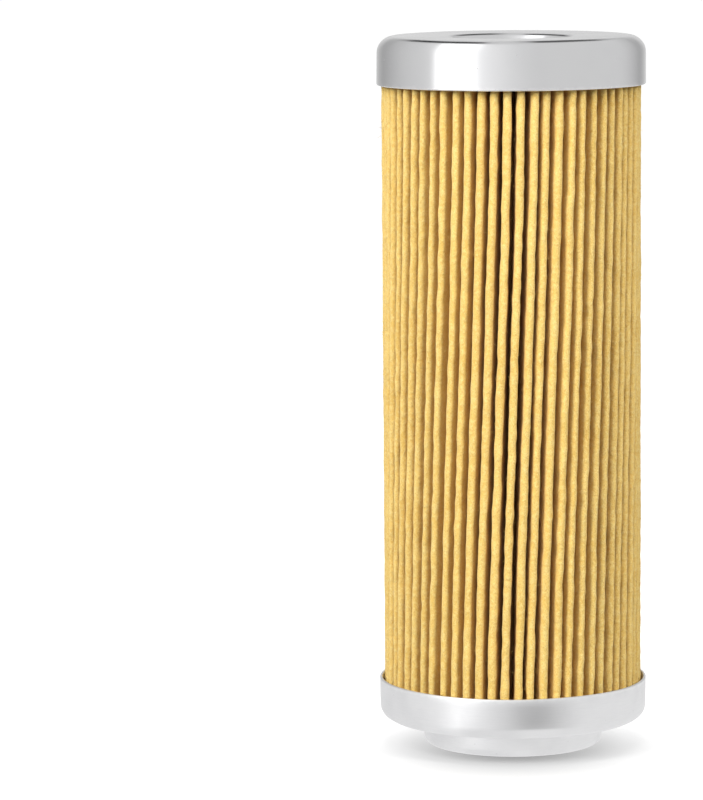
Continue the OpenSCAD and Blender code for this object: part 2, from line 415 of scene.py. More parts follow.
def make_retainer():
    """The middle line runs in along the flange and up the sleeve."""
    line = [
        [retainer_high[0] - HALF, retainer_low[2] + HALF, 0],
        [bore_r + HALF, retainer_low[2] + HALF, RETAINER_BEND - HALF],
        [bore_r + HALF, retainer_high[2] - HALF, 0],
    ]
    outline = evened(np.vstack(sheet_section(line, True)), RETAINER_STEP)
    rubbed = [(bore_r + HALF, retainer_high[2], RIM_RUB)]
    return lathe("retainer_bright", outline, True, edges=rubbed)


retainer = make_retainer()

# %% [markdown]
# ## The O-ring
#
# A moulded ring has a round section, and where the two halves of its mould met it keeps a hair-thin
# parting line round the middle of its inside and outside. The section is a circle whose
# radius has a small sharp bump at those two places.

# %% O-ring with its parting line
RING_STEPS = 72
CROWDING = 0.225
FLASH = 0.03
FLASH_WIDTH = 0.05


def make_o_ring():
    """Section: a circle of r = R - flash + flash * bell(angle from the ring's plane). The steps of
    the angle t are crowded towards that plane by taking t - crowding * sin 2t."""
    section = (ring_high[2] - ring_low[2]) / 2
    t = np.linspace(0, 2 * math.pi, RING_STEPS, endpoint=False)
    t = t - CROWDING * np.sin(2 * t)
    radius = section - FLASH + FLASH * near(np.abs(np.sin(t)), 0, FLASH_WIDTH)
    middle_r, middle_z = ring_high[0] - section, (ring_high[2] + ring_low[2]) / 2
    outline = np.stack([middle_r + radius * np.cos(t), middle_z + radius * np.sin(t)], -1)
    return lathe("o_ring_rubber", outline, True, around=FEWER_AROUND)


o_ring = make_o_ring()

# %% [markdown]
# ## The perforated core
#
# The core is a steel strip with staggered round holes, rolled into a tube and painted black. Cutting
# 245 holes with booleans is slow and leaves long thin faces. Instead the tube is laid out flat as
# cells, one hole to a cell. A cell joins the points of its circle to as many points on its
# rectangle, so neighbours share their border points, and all cells are one broadcast array.
# Every second column is half a cell higher, and plain half cells fill the gaps at its ends.

# %% Perforated core
HOLE_R = 1.4
HOLE_ROWS = 14
HOLE_PITCH = 6.2
HOLE_MARGIN = 2.2
SIDE = 8
PUNCH = 0.12
PUNCH_DIP = 0.01
CORE_MERGE = 1e-6
HALF_CELL = HOLE_PITCH / 2
COLUMN = 2 * math.pi / HOLE_ROWS
first_hole_z = core_low[2] + HOLE_MARGIN
levels = int((core_high[2] - core_low[2] - 2 * HOLE_MARGIN) / HALF_CELL) + 1


def cell_border():
    """Points round a rectangle from -1 to 1, SIDE steps to a side, starting at the lower right."""
    s = np.arange(SIDE) * 2 / SIDE - 1
    one = np.ones(SIDE)
    return np.vstack([np.stack([one, s], -1), np.stack([-s, one], -1),
                      np.stack([-one, -s], -1), np.stack([s, -one], -1)])


def clamped(z):
    """Heights cut off at the tube's lower end and stretched to its upper end."""
    last = first_hole_z + levels * HALF_CELL
    return np.where(z > last - 0.01, core_high[2], np.maximum(z, core_low[2]))


def on_tube(offset, column, level_z, radius):
    """Wrap flat offsets round the tube: the angle is that whose sine is offset over radius."""
    angle = column * COLUMN + np.arcsin(np.clip(offset[..., 0] / radius, -1, 1))
    return about_axis(angle, radius, level_z + offset[..., 1])


def border_on_tube(column, level_z, radius):
    """The border of a cell: half a column to each side, half a pitch up and down, clamped."""
    border = cell_border()
    angle = (column + border[:, 0] / 2) * COLUMN
    return about_axis(angle, radius, clamped(level_z + border[:, 1] * HALF_CELL))


def plain_half_cells(start):
    """Half cells without a hole, below the first and above the last level of the shifted columns,
    as SIDE by SIDE / 2 grids on both faces, and the two rings of faces that close the tube's ends.
    Their points are numbered from start."""
    across = np.linspace(-0.5, 0.5, SIDE + 1)
    up = np.linspace(0, 1, SIDE // 2 + 1)
    radii = (core_high[0], core_in_r)
    top_level_z = first_hole_z + (levels - 1) * HALF_CELL
    gaps = [(first_hole_z - HALF_CELL, column) for column in range(1, HOLE_ROWS, 2)]
    gaps += [(top_level_z, column) for column in range(levels % 2, HOLE_ROWS, 2)]
    points, quads = [], []
    for radius in radii:
        for bottom, column in gaps:
            z = clamped(bottom + up * HALF_CELL)
            grid = about_axis((column + across[:, None]) * COLUMN, radius, z[None, :])
            quads.append(grid_quads(*grid.shape[:2]) + start)
            points.append(grid.reshape(-1, 3))
            start += len(points[-1])
    angle = (np.arange(HOLE_ROWS * SIDE) / SIDE - 0.5) * COLUMN
    for z in (core_low[2], core_high[2]):
        quads.append(grid_quads(2, len(angle), False, True) + start)
        points += [about_axis(angle, radius, z) for radius in radii]
        start += 2 * len(angle)
    return np.vstack(points), np.vstack(quads)


def make_core():
    """All cells at once: rings from the outer border, over the rolled edge, through the wall and out
    to the inner border. Plain half cells are small grids on both faces, and strips close the ends."""
    outer, inner = core_high[0], core_in_r
    level, row = np.meshgrid(np.arange(levels), np.arange(0, HOLE_ROWS, 2), indexing="ij")
    column = (row + level % 2).ravel()[:, None].astype(float)
    z = (first_hole_z + level * HALF_CELL).ravel()[:, None]
    circle = unit(cell_border())
    wide, edge, hole = (circle * (HOLE_R + roll) for roll in (3.5 * PUNCH, PUNCH, 0.0))
    cells = np.stack([
        border_on_tube(column, z, outer), on_tube(wide, column, z, outer),
        on_tube(edge, column, z, outer - PUNCH_DIP), on_tube(hole, column, z, outer - PUNCH),
        on_tube(hole, column, z, inner + PUNCH), on_tube(edge, column, z, inner + PUNCH_DIP),
        on_tube(wide, column, z, inner), border_on_tube(column, z, inner),
    ], 1)
    count, depth, around = cells.shape[:3]
    start = np.arange(count)[:, None, None] * depth * around
    quads = (start + grid_quads(depth, around, False, True)).reshape(-1, 4)
    plain_points, plain_quads = plain_half_cells(count * depth * around)
    mask = np.zeros((count, depth, around))
    mask[:, 2:6] = np.array([1.0, 0.5, 0.5, 1.0])[:, None]
    mask = np.append(mask.ravel(), np.zeros(len(plain_points)))
    points = np.vstack([cells.reshape(-1, 3), plain_points]) * MM
    return mesh_object("core_black", points, np.vstack([quads, plain_quads]), CORE_MERGE,
                       {"edge": mask})


core = make_core()

# %% [markdown]
# ## The pleated paper
#
# This is the piece that makes the picture. One long sheet goes round the core in 61 pleats: a
# rolled fold at the outside, a straight leg inwards, a tighter fold beside the core, and out again.
# Every fold is a circle, and every leg is the line that touches two neighbouring circles
# from opposite sides, so nothing kinks. The circles are moved a little from pleat to pleat and with
# the height, and the legs follow by themselves. That gives the lean and the slight
# wandering of real pleats without a single stretched face. The sheet's two ends meet at the back.

# %% How the folds wander
PLEATS = 61
PAPER = 0.5
TIP_FOLD = 0.31
ROOT_FOLD = 0.1
TIP_PLAY = 0.02
ROOT_PLAY = 0.1
SEAM_ANGLE = math.radians(93.5)
ROWS = 160
LEAN_DEGREES = (4.6, -0.25, -0.66)
LEAN_SPAN = 48.0
# unevenness from fold to fold, then waves along a fold as (size, longest wave in millimetres)
ANGLE_STEP, ANGLE_WAVES = 0.0040, ((0.0028, 90.0), (0.0016, 16.0), (0.0012, 6.0))
DEPTH_STEP, DEPTH_WAVES = 0.09, ((0.06, 60.0), (0.03, 8.0))
SLACK = 0.03
ROOT_SHARE = 0.35
half_pitch = math.pi / PLEATS
middle_z = (paper_low[2] + paper_high[2]) / 2
tip_centre_r = cap_r - SKIRT_FLARE - SHEET - TIP_PLAY - TIP_FOLD - PAPER
root_centre_r = core_high[0] + ROOT_PLAY + ROOT_FOLD + PAPER


def lean(z):
    """Turn of the pleats at a height: a cubic, steepest half way up and slower near both caps."""
    s = (z - middle_z) / LEAN_SPAN
    first, second, third = np.radians(LEAN_DEGREES)
    return first * s + second * s**2 + third * s**3


def drift(count, z, size, longest):
    """Slow waves along Z, one set for each fold: two sines with random lengths, phases and sizes."""
    total = np.zeros((count, len(z)))
    for share in (0.65, 0.35):
        length = longest * rng.uniform(0.5, 1.0, (count, 1)) * share
        phase = rng.uniform(0, 2 * math.pi, (count, 1))
        height = share * rng.normal(0, 1, (count, 1))
        total += height * np.sin(2 * math.pi * z[None, :] / length + phase)
    return size * total


def fold_circles(z):
    """Centres and middle radii of all fold circles at all heights. Even ones are outer folds, odd
    ones are beside the core, and the first and last are the one at the seam."""
    count = 2 * PLEATS + 1
    outer = np.arange(count) % 2 == 0
    angle = SEAM_ANGLE + np.arange(count)[:, None] * half_pitch + lean(z)[None, :]
    uneven = rng.normal(0, ANGLE_STEP, (count, 1))
    uneven = uneven + sum(drift(count, z, *wave) for wave in ANGLE_WAVES)
    uneven[~outer] *= ROOT_SHARE
    uneven[[0, -1]] = 0
    depth = np.abs(rng.normal(0, DEPTH_STEP, (count, 1)))
    depth = depth + sum(np.abs(drift(count, z, *wave)) for wave in DEPTH_WAVES)
    depth[~outer] = 0
    depth[[0, -1]] = 0
    slack = np.where(outer, rng.normal(0, SLACK, count), 0)[:, None]
    slack[[0, -1]] = 0
    radius = np.where(outer, tip_centre_r, root_centre_r)[:, None] - depth - np.abs(slack)
    middle = np.where(outer, TIP_FOLD, ROOT_FOLD)[:, None] + PAPER / 2 + slack + 0 * depth
    return about_axis(angle + uneven, radius, 0.0)[..., :2], middle


# %% The sheet along its folds
TIP_STEPS = 8
ROOT_STEPS = 4
SEAM_REACH = 0.45
TUFT = 0.032
FOLD_SIDES = 0.15
CUT_PLEATS = (20, 40)


def leg_normals(centres, middle):
    """For each leg, the unit vector from the centre of its first circle to where it leaves that
    circle. Its angle to the line between the centres has the cosine (r1 + r2) / distance."""
    step = centres[1:] - centres[:-1]
    distance = np.linalg.norm(step, axis=-1)
    spread = np.arccos((middle[1:] + middle[:-1]) / distance)
    side = np.where(np.arange(len(step)) % 2 == 0, -1.0, 1.0)[:, None]
    return turned(unit(step), side * spread)


def tufts(shape, size):
    """Felted lumps: random numbers, each averaged twice with its neighbours across the fold and up
    it."""
    field = rng.normal(0, 1, shape)
    for axis in (1, 2, 1, 2):
        field = (np.roll(field, 1, axis) + 2 * field + np.roll(field, -1, axis)) / 4
    return size * field / field.std()


def sheet_side(centres, middle, normals, shift, lumps):
    """Plane points of one side of the paper, as rows along the sheet: arcs round each inner circle
    of the list, between its two legs, and a short straight reach past the seam at both ends. Lumps
    are added to the radius of the outer folds."""
    heading = np.arctan2(normals[..., 1], normals[..., 0])
    lead = turned(normals[0], np.array(math.pi / 2))
    tail = turned(-normals[-1], np.array(-math.pi / 2))
    sides = [(centres[0] + (middle[0][:, None] + shift) * normals[0] - SEAM_REACH * lead)[None]]
    for i in range(1, len(centres) - 1):
        outer = i % 2 == 0
        steps = TIP_STEPS if outer else ROOT_STEPS
        start, stop = heading[i - 1] + math.pi, heading[i]
        sweep = (stop - start) % (2 * math.pi) if outer else -((start - stop) % (2 * math.pi))
        angle = start + sweep * np.linspace(0, 1, steps + 1)[:, None]
        radius = middle[i] + (shift + lumps[i // 2] if outer else -shift) + 0 * angle
        sides.append(centres[i] + radius[..., None] * np.stack([np.cos(angle), np.sin(angle)], -1))
    last = centres[-1] - (middle[-1][:, None] + shift) * normals[-1]
    sides.append((last - SEAM_REACH * tail)[None])
    return np.concatenate(sides)


def closed_length(points):
    """Quads for a length of the sheet: round its section, and a strip across each of its two ends."""
    along, around = points.shape[:2]
    i = np.arange(around // 2 - 1)
    strip = np.stack([i, i + 1, around - 2 - i, around - 1 - i], -1)
    ends = np.vstack([strip, strip[:, ::-1] + (along - 1) * around])
    return np.vstack([grid_quads(along, around, False, True), ends])


def fold_marks(around):
    """1 at the crown of each outer fold, a little less at its sides, and 0 at the inner folds."""
    # the paper's material paints shade on the legs where this mark is low
    tip = 1 - FOLD_SIDES * np.linspace(-1, 1, TIP_STEPS + 1) ** 2
    root = np.zeros(ROOT_STEPS + 1)
    rows = [root if i % 2 else tip for i in range(1, 2 * PLEATS)]
    return np.concatenate([[1.0], *rows, [1.0]])[:, None] + np.zeros(around)


def make_paper():
    """A grid with one parameter along the sheet and the other round its section: up the outer side,
    down the inner side. It is cut into three lengths at folds beside the core, where no one sees
    it, to keep each mesh light."""
    z = np.linspace(paper_low[2], paper_high[2], ROWS)
    centres, middle = fold_circles(z)
    normals = leg_normals(centres, middle)
    lumps = tufts((PLEATS + 1, TIP_STEPS + 1, ROWS), TUFT)
    lumps = lumps - lumps.max()
    sides = []
    for shift, order, felt in ((PAPER / 2, 1, lumps), (-PAPER / 2, -1, 0 * lumps)):
        plane = sheet_side(centres, middle, normals, shift, felt)
        heights = np.broadcast_to(z[None, :, None], plane.shape[:2] + (1,))
        sides.append(np.concatenate([plane, heights], -1)[:, ::order])
    points = np.concatenate(sides, 1) * MM
    marks = fold_marks(points.shape[1])
    per_pleat = TIP_STEPS + ROOT_STEPS + 2
    cuts = [1 + pleat * per_pleat + ROOT_STEPS // 2 for pleat in CUT_PLEATS]
    pieces = []
    for number, (a, b) in enumerate(zip([0, *cuts], [*cuts, len(points) - 1]), 1):
        length = points[a:b + 1]
        pieces.append(mesh_object(f"paper_pleats_{number}", length, closed_length(length),
                                  marks={"fold": marks[a:b + 1]}))
    return pieces, centres, middle, normals, z


papers, fold_centres, fold_middles, leg_directions, paper_z = make_paper()

# %% Loose fibres
FIBRES = 2600
FIBRE_STEPS = 5
FIBRE_SIDES = 3
FIBRE_ROWS = (9, ROWS - 14)
FIBRE_FAN = 95
FIBRE_ROOT = 0.07
FIBRE_LENGTH = (0.22, 0.62)
FIBRE_THICK = 0.024
FIBRE_SPREAD = (0.25, 0.6, 0.9)
FIBRE_CURL = 0.9
FIBRE_REACH = cap_r - 0.12
ASKEW = (0.31, 0.27, 0.91)


def make_fibres():
    """Pulp fibres that stand off the outer folds. Each is a closed spindle: its path runs from the
    paper as length * (first * t + curl * t^2 / 2), and the triangle round it shrinks to nothing at
    both ends."""
    fold = 2 * rng.integers(1, PLEATS, FIBRES)
    row = rng.integers(*FIBRE_ROWS, FIBRES)
    centre = fold_centres[fold, row]
    heading = np.arctan2(centre[:, 1], centre[:, 0])
    heading = heading + np.radians(rng.uniform(-FIBRE_FAN, FIBRE_FAN, FIBRES))
    out = about_axis(heading, 1.0, 0.0)
    side = about_axis(heading + math.pi / 2, 1.0, 0.0)
    up = np.array([[0.0, 0.0, 1.0]])
    root = fold_middles[fold, row] + PAPER / 2 - FIBRE_ROOT
    base = np.concatenate([centre, paper_z[row][:, None]], -1) + root[:, None] * out
    lean_out, lean_side, lean_up = rng.normal(0, FIBRE_SPREAD, (FIBRES, 3)).T[:, :, None]
    first = unit(out * (0.75 + lean_out) + side * lean_side + up * lean_up)
    curl = rng.normal(0, FIBRE_CURL, (FIBRES, 3))
    length = rng.uniform(*FIBRE_LENGTH, (FIBRES, 1))
    base, first, curl, length = (part[:, None, None] for part in (base, first, curl, length))
    t = np.linspace(0, 1, FIBRE_STEPS)[None, :, None, None]
    path = base + length * (first * t + 0.5 * curl * t**2)
    across = unit(np.cross(first, ASKEW))
    other = np.cross(first, across)
    thick = FIBRE_THICK * np.sqrt(np.clip(t * (1 - t) * 4, 0, 1))
    angle = np.linspace(0, 2 * math.pi, FIBRE_SIDES, endpoint=False)[None, None, :, None]
    points = path + thick * (np.cos(angle) * across + np.sin(angle) * other)
    reach = np.linalg.norm(points[..., :2], axis=-1, keepdims=True)
    points[..., :2] *= np.minimum(1, FIBRE_REACH / reach)
    one = grid_quads(FIBRE_STEPS, FIBRE_SIDES, False, True)
    quads = one[None] + (np.arange(FIBRES) * FIBRE_STEPS * FIBRE_SIDES)[:, None, None]
    marks = {"fold": np.ones(points.shape[:-1])}
    return mesh_object("paper_fibres", points * MM, quads.reshape(-1, 4), marks=marks)


fibres = make_fibres()

# %% [markdown]
# ## The seam
#
# The sheet's two ends lie face to face in one pleat at the back, and a bead of adhesive joins them.
# The bead fills the wedge between the two legs. Its outer face is not straight: adhesive
# that was wiped along a seam swells and thins, so that edge moves in and out along its height.

# %% Adhesive bead in the seam pleat
BEAD_DEPTH = 4.5
BEAD_STEPS = 6
BEAD_SUNK = 0.05
BEAD_SWELL = 0.02
BEAD_WAVE = (0.10, 14.0)


def make_bead():
    """A section across the wedge at each height: two straight flanks along the legs' inner sides and
    an outer face that bulges as half a sine, by an amount that drifts with the height."""
    first = fold_centres[0]
    flank = []
    for normal, turn in ((leg_directions[0], 1.0), (-leg_directions[-1], -1.0)):
        outward = -turned(normal, np.array(turn * math.pi / 2))
        base = first + TIP_FOLD * normal
        reach = SEAM_REACH - BEAD_SUNK
        flank.append([base + outward * reach, base + outward * (reach - BEAD_DEPTH)])
    (out_a, in_a), (out_b, in_b) = flank
    across = np.linspace(0, 1, BEAD_STEPS + 1)[:, None, None]
    swell = BEAD_SWELL + drift(1, paper_z, *BEAD_WAVE)[0]
    face = out_b + (out_a - out_b) * across
    face = face + np.sin(math.pi * across) * swell[None, :, None] * unit(first)
    section = np.concatenate([face, in_a[None], in_b[None]])
    heights = np.broadcast_to(paper_z[None, :, None], section.shape[:2] + (1,))
    points = np.concatenate([section, heights], -1).transpose(1, 0, 2)
    rows, around = points.shape[:2]
    ends = points[[0, -1]].mean(1, keepdims=True).repeat(around, 1)
    points = np.concatenate([ends[:1], points, ends[1:]])
    return mesh_object("seam_bead", points * MM, grid_quads(rows + 2, around, False, True))


bead = make_bead()

# %% [markdown]
# ## The potting
#
# Each cap is a shallow tray that was filled with resin before the paper and the core were stood in
# it. The resin climbs a little where it wets the metal. A section with
# two small upward curves, turned about Z, is all that shows, and only through the outlet.

# %% Potting rings
MENISCUS = 0.35
POTTING_STEPS = 24
POTTING_PLAY = 0.02
POTTING_SHOWN = 3.0


def make_potting(name, inner, outer, low, high, side):
    """A rectangular section whose free side, upper for a side of 1 and lower for -1, stands back by
    m * (1 - exp(-a / m) - exp(-b / m)), where a and b are the distances from the two walls."""
    r = np.linspace(inner, outer, POTTING_STEPS)
    climb = np.exp(-(r - inner) / MENISCUS) + np.exp(-(outer - r) / MENISCUS)
    top, far = (high, low) if side > 0 else (low, high)
    free = top - side * MENISCUS * (1 - np.minimum(climb, 1))
    outline = np.vstack([np.stack([r, free], -1), np.stack([r[::-1], 0 * r + far], -1)])
    return lathe(name, outline, True, around=FEWER_AROUND)


lower_potting = make_potting("potting_lower", bore_r + SHEET, lower_high[0] - POTTING_PLAY,
                             lower_high[2] - POTTING_SHOWN, lower_high[2], 1)
upper_potting = make_potting("potting_upper", recess_r - RECESS_DRAFT + SHEET,
                             upper_high[0] - POTTING_PLAY, upper_low[2],
                             upper_low[2] + POTTING_SHOWN, -1)

# %% [markdown]
# ## Effects that several finishes share
#
# Real surfaces are never one flat value. Three kinds of unevenness turn up again and again here:
# lines that a tool or a rolling mill drew, soft patches that hands and storage leave, and small
# specks of dust or fibre. Each is one node group with named inputs, so a material only says how
# much of it there is and at what scale. The groups read a place on the object and put out numbers.
# The shader itself stays in each material.

# %% Node helpers
def fill_sockets(tree, made, inputs):
    """Give a node's inputs their values, or link them to other nodes' sockets."""
    for key, value in inputs.items():
        if isinstance(value, bpy.types.NodeSocket):
            tree.links.new(value, made.inputs[key])
        else:
            made.inputs[key].default_value = value


def add_node(tree, kind, inputs=None, **settings):
    """A new shader node: settings are its options, and inputs are values or sockets."""
    made = tree.nodes.new("ShaderNode" + kind)
    for option, value in settings.items():
        setattr(made, option, value)
    fill_sockets(tree, made, inputs or {})
    return made


def calculate(tree, operation, first, second=0.0, third=0.0):
    """One Math node and its result."""
    made = add_node(tree, "Math", {0: first, 1: second, 2: third}, operation=operation)
    return made.outputs[0]


def times(tree, first, second):
    """A product."""
    return calculate(tree, "MULTIPLY", first, second)


def weighed(tree, first, share, second):
    """Two values in one: share * first + (1 - share) * second."""
    return calculate(tree, "MULTIPLY_ADD", first, share, times(tree, second, 1.0 - share))


def remap(tree, value, low, high, to_low=0.0, to_high=1.0):
    """A value taken smoothly from one range to another."""
    made = add_node(tree, "MapRange", {0: value, 1: low, 2: high, 3: to_low, 4: to_high},
                    interpolation_type="SMOOTHSTEP")
    return made.outputs[0]


def blend_colours(tree, share, first, second):
    """A colour between two colours."""
    return add_node(tree, "Mix", {0: share, 6: first, 7: second}, data_type="RGBA").outputs[2]


def tinted(tree, colour, mask, most, other):
    """A colour taken towards another by a mask, and by that share at most."""
    return blend_colours(tree, times(tree, mask, most), colour, other)


def noise(tree, place, scale, detail=3.0, roughness=0.5):
    """A Noise Texture's factor."""
    made = add_node(tree, "TexNoise", {"Vector": place, "Scale": scale, "Detail": detail,
                                       "Roughness": roughness})
    return made.outputs["Fac"]


def new_group(name, output, **numbers):
    """An empty node group that takes a place and named numbers with their usual values, and puts
    out one number."""
    tree = bpy.data.node_groups.new(name, "ShaderNodeTree")
    tree.interface.new_socket("Place", in_out="INPUT", socket_type="NodeSocketVector")
    for label, usual in numbers.items():
        socket = tree.interface.new_socket(label, in_out="INPUT", socket_type="NodeSocketFloat")
        socket.default_value = usual
    tree.interface.new_socket(output, in_out="OUTPUT", socket_type="NodeSocketFloat")
    return tree, tree.nodes.new("NodeGroupInput").outputs, tree.nodes.new("NodeGroupOutput").inputs


def use_group(tree, group, **inputs):
    """The group placed in a material, with its inputs filled by name, and its result."""
    made = tree.nodes.new("ShaderNodeGroup")
    made.node_tree = group
    fill_sockets(tree, made, inputs)
    return made.outputs[0]


# %% Drawn lines round or along the axis
AXIS_GUARD = 0.0004


def make_drawn_lines():
    """Noise at the place (x/r * Around, y/r * Around, z * Up + r * Out). A large Around and a small
    Up give lines along the axis, and the reverse gives lines round it. No seam shows, because
    x/r and y/r run smoothly round the turn."""
    tree, given, result = new_group("drawn_lines", "Line", Around=60.0, Up=60.0, Out=60.0)
    x, y, z = add_node(tree, "SeparateXYZ", {0: given["Place"]}).outputs
    squares = calculate(tree, "ADD", times(tree, x, x), times(tree, y, y))
    radius = calculate(tree, "MAXIMUM", calculate(tree, "SQRT", squares), AXIS_GUARD)
    turn_x = times(tree, calculate(tree, "DIVIDE", x, radius), given["Around"])
    turn_y = times(tree, calculate(tree, "DIVIDE", y, radius), given["Around"])
    rise = calculate(tree, "MULTIPLY_ADD", z, given["Up"], times(tree, radius, given["Out"]))
    wrapped = add_node(tree, "CombineXYZ", {0: turn_x, 1: turn_y, 2: rise}).outputs[0]
    tree.links.new(noise(tree, wrapped, 1.0, 4.0, 0.6), result["Line"])
    return tree


drawn_lines = make_drawn_lines()

# %% Soft patches, specks and rubbed edges
def make_patches():
    """Two sizes of soft noise, added and spread to run from 0 to 1 round a middle of one half."""
    tree, given, result = new_group("soft_patches", "Patch", Scale=100.0, Contrast=1.0)
    broad = noise(tree, given["Place"], given["Scale"], 2.0, 0.5)
    fine = noise(tree, given["Place"], times(tree, given["Scale"], 4.3), 2.0, 0.5)
    off_middle = calculate(tree, "SUBTRACT", weighed(tree, fine, 0.35, broad), 0.5)
    spread = calculate(tree, "MULTIPLY_ADD", off_middle, times(tree, given["Contrast"], 3.0), 0.5)
    tree.links.new(remap(tree, spread, 0.0, 1.0), result["Patch"])
    return tree


def make_specks():
    """Small round specks: 1 inside a distance of each cell's centre, kept only in some cells."""
    tree, given, result = new_group("dust_specks", "Speck", Scale=900.0, Amount=0.1)
    cells = add_node(tree, "TexVoronoi", {"Vector": given["Place"], "Scale": given["Scale"]})
    inside = remap(tree, cells.outputs["Distance"], 0.10, 0.22, 1.0, 0.0)
    pick = add_node(tree, "SeparateXYZ", {0: cells.outputs["Color"]}).outputs[0]
    chosen = calculate(tree, "LESS_THAN", pick, given["Amount"])
    tree.links.new(times(tree, inside, chosen), result["Speck"])
    return tree


def make_rubbed():
    """An edge mask with an uneven border: the mask is pushed up and down by noise and cut softly."""
    tree, given, result = new_group("rubbed_edges", "Rub", Edge=0.0, Scale=700.0)
    uneven = noise(tree, given["Place"], given["Scale"], 3.0, 0.6)
    push = calculate(tree, "SUBTRACT", uneven, 0.5)
    pushed = calculate(tree, "MULTIPLY_ADD", push, 1.6, given["Edge"])
    tree.links.new(times(tree, remap(tree, pushed, 0.55, 1.0), given["Edge"]), result["Rub"])
    return tree


soft_patches, dust_specks, rubbed_edges = make_patches(), make_specks(), make_rubbed()
print("effect groups:", [g.name for g in bpy.data.node_groups])

# %% [markdown]
# ## Metal finishes
#
# The closed cap is bright: its reflections are soft but have a clear border. The open cap is satin,
# with broader reflections, faint lines round it and cloudy patches. Metallic is 1 on both, so the
# base colour is the colour of the reflection. What differs is roughness and how uneven it is.
# Bump heights are in metres, a few micrometres for lines that only catch light.

# %% Start of a material
def start_material(name, **constants):
    """A material with its Principled shader's constant sockets set, and the object's own place."""
    made = bpy.data.materials.new(name)
    made.use_nodes = True
    tree = made.node_tree
    shader = tree.nodes["Principled BSDF"]
    for label, value in constants.items():
        shader.inputs[label.replace("_", " ")].default_value = value
    return made, tree, shader.inputs, add_node(tree, "TexCoord").outputs["Object"]


def connect(tree, shader, **results):
    """Link results to the shader's inputs of those names."""
    for label, socket in results.items():
        tree.links.new(socket, shader[label.replace("_", " ")])


def add_bump(tree, shader, height, distance):
    """A Bump node between a height that runs from 0 to 1 and the shader's Normal."""
    bump = add_node(tree, "Bump", {"Height": height, "Distance": distance, "Strength": 1.0})
    connect(tree, shader, Normal=bump.outputs["Normal"])


def mark(tree, name):
    """The numbers that a piece's mesh carries under a name."""
    return add_node(tree, "Attribute", attribute_name=name).outputs["Fac"]


def patches(tree, place, scale, contrast=1.0):
    """Soft patches of a size and a contrast."""
    return use_group(tree, soft_patches, Place=place, Scale=scale, Contrast=contrast)


def specks(tree, place, scale, amount):
    """Specks of a size in that share of their cells."""
    return use_group(tree, dust_specks, Place=place, Scale=scale, Amount=amount)


def rubs(tree, place, scale):
    """Rubbed places along the piece's marked edges."""
    return use_group(tree, rubbed_edges, Place=place, Edge=mark(tree, "edge"), Scale=scale)


# %% Sheet metal
def sheet_metal(name, tone, dull_tone, rub_tone, smooth, rough, lines, line_height):
    """Pressed sheet: tone and roughness between two values by patches and drawn lines, rubbed edges
    lighter, and the lines as bump."""
    made, tree, shader, place = start_material(name, Metallic=1.0)
    around, up, out = lines
    drawn = use_group(tree, drawn_lines, Place=place, Around=around, Up=up, Out=out)
    speck = specks(tree, place, 1100.0, 0.05)
    share = weighed(tree, drawn, 0.5, patches(tree, place, 60.0))
    colour = blend_colours(tree, share, dull_tone, tone)
    colour = tinted(tree, colour, speck, 0.12, (0.30, 0.29, 0.28, 1))
    colour = tinted(tree, colour, rubs(tree, place, 900.0), 0.5, rub_tone)
    uneven = remap(tree, share, 0.2, 0.8, rough, smooth)
    roughness = calculate(tree, "MULTIPLY_ADD", speck, 0.15, uneven)
    connect(tree, shader, Base_Color=colour, Roughness=roughness)
    add_bump(tree, shader, drawn, line_height)
    return made


BRIGHT = sheet_metal("bright_sheet", (0.68, 0.68, 0.685, 1), (0.64, 0.64, 0.65, 1),
                     (0.76, 0.76, 0.76, 1), smooth=0.15, rough=0.20,
                     lines=(260.0, 60.0, 900.0), line_height=0.8e-6)
SATIN = sheet_metal("satin_sheet", (0.82, 0.82, 0.825, 1), (0.70, 0.70, 0.71, 1),
                    (0.88, 0.88, 0.88, 1), smooth=0.30, rough=0.40,
                    lines=(9.0, 5200.0, 5200.0), line_height=4.0e-6)
print("metal finishes:", BRIGHT.name, SATIN.name)

# %% [markdown]
# ## The paper
#
# Filter paper is made of long pulp fibres with a little resin. Close up it is felted: small
# tufts, pale and darker threads, and a surface rough enough to have no shine at all. Three noises do
# that: a fine one for the fibres, stretched a little along the sheet's height, a middle one for
# tufts and a broad one for clouds in the colour. The legs are painted a darker brown than the outer
# folds: painted shade for the gaps between the pleats. The mesh says where a fold is. Light that
# bounces between two legs also picks up their colour twice, which browns the deep gaps further.

# %% Felted paper
GAP_SHADE_POWER = 3.0
GAP_SHADE_SHARE = 0.85
FELT_HEIGHT = 0.00030


